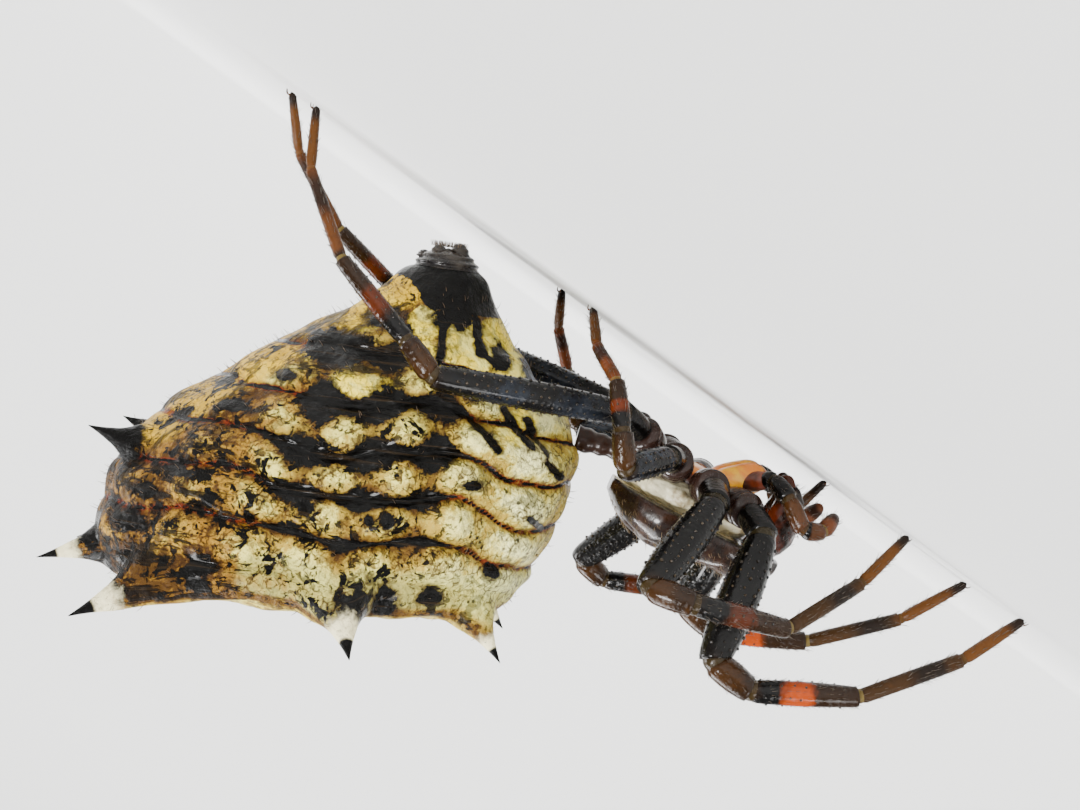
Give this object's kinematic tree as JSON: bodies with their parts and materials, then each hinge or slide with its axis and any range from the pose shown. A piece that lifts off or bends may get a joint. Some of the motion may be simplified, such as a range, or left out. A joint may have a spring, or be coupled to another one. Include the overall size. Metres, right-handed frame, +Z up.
{
  "type": "spined micrathena",
  "caption": "Life-size still model of a female spined micrathena orb-weaver spider on its feet, with a tall wedge-shaped spiny abdomen carried high above a small head end.",
  "frame": {"origin": "on the floor, under the middle of the box round the whole spider", "axes": "+Z up, -Y the way the head looks, +X towards the spider's left"},
  "size_m": [0.0062, 0.0128, 0.0073],
  "materials": {
    "abdomen_skin": "smooth, slightly glossy hide in cream and yellow with black and brown markings",
    "spinneret_shell": "glossy black",
    "carapace_shell": "glossy dark brown",
    "underside_shell": "glossy orange-yellow with dark brown hip joints",
    "jaw_shell": "glossy red-brown",
    "leg_shell": "glossy black-brown, turning orange-brown towards the feet"
  },
  "bodies": {
    "root": {"abdomen": "abdomen_skin", "spinnerets": "spinneret_shell", "carapace": "carapace_shell", "underside": "underside_shell", "jaw_L": "jaw_shell", "jaw_R": "jaw_shell", "palp_L": "leg_shell", "palp_R": "leg_shell", "leg_L1": "leg_shell", "leg_L2": "leg_shell", "leg_L3": "leg_shell", "leg_L4": "leg_shell", "leg_R1": "leg_shell", "leg_R2": "leg_shell", "leg_R3": "leg_shell", "leg_R4": "leg_shell"}
  },
  "joints": []
}
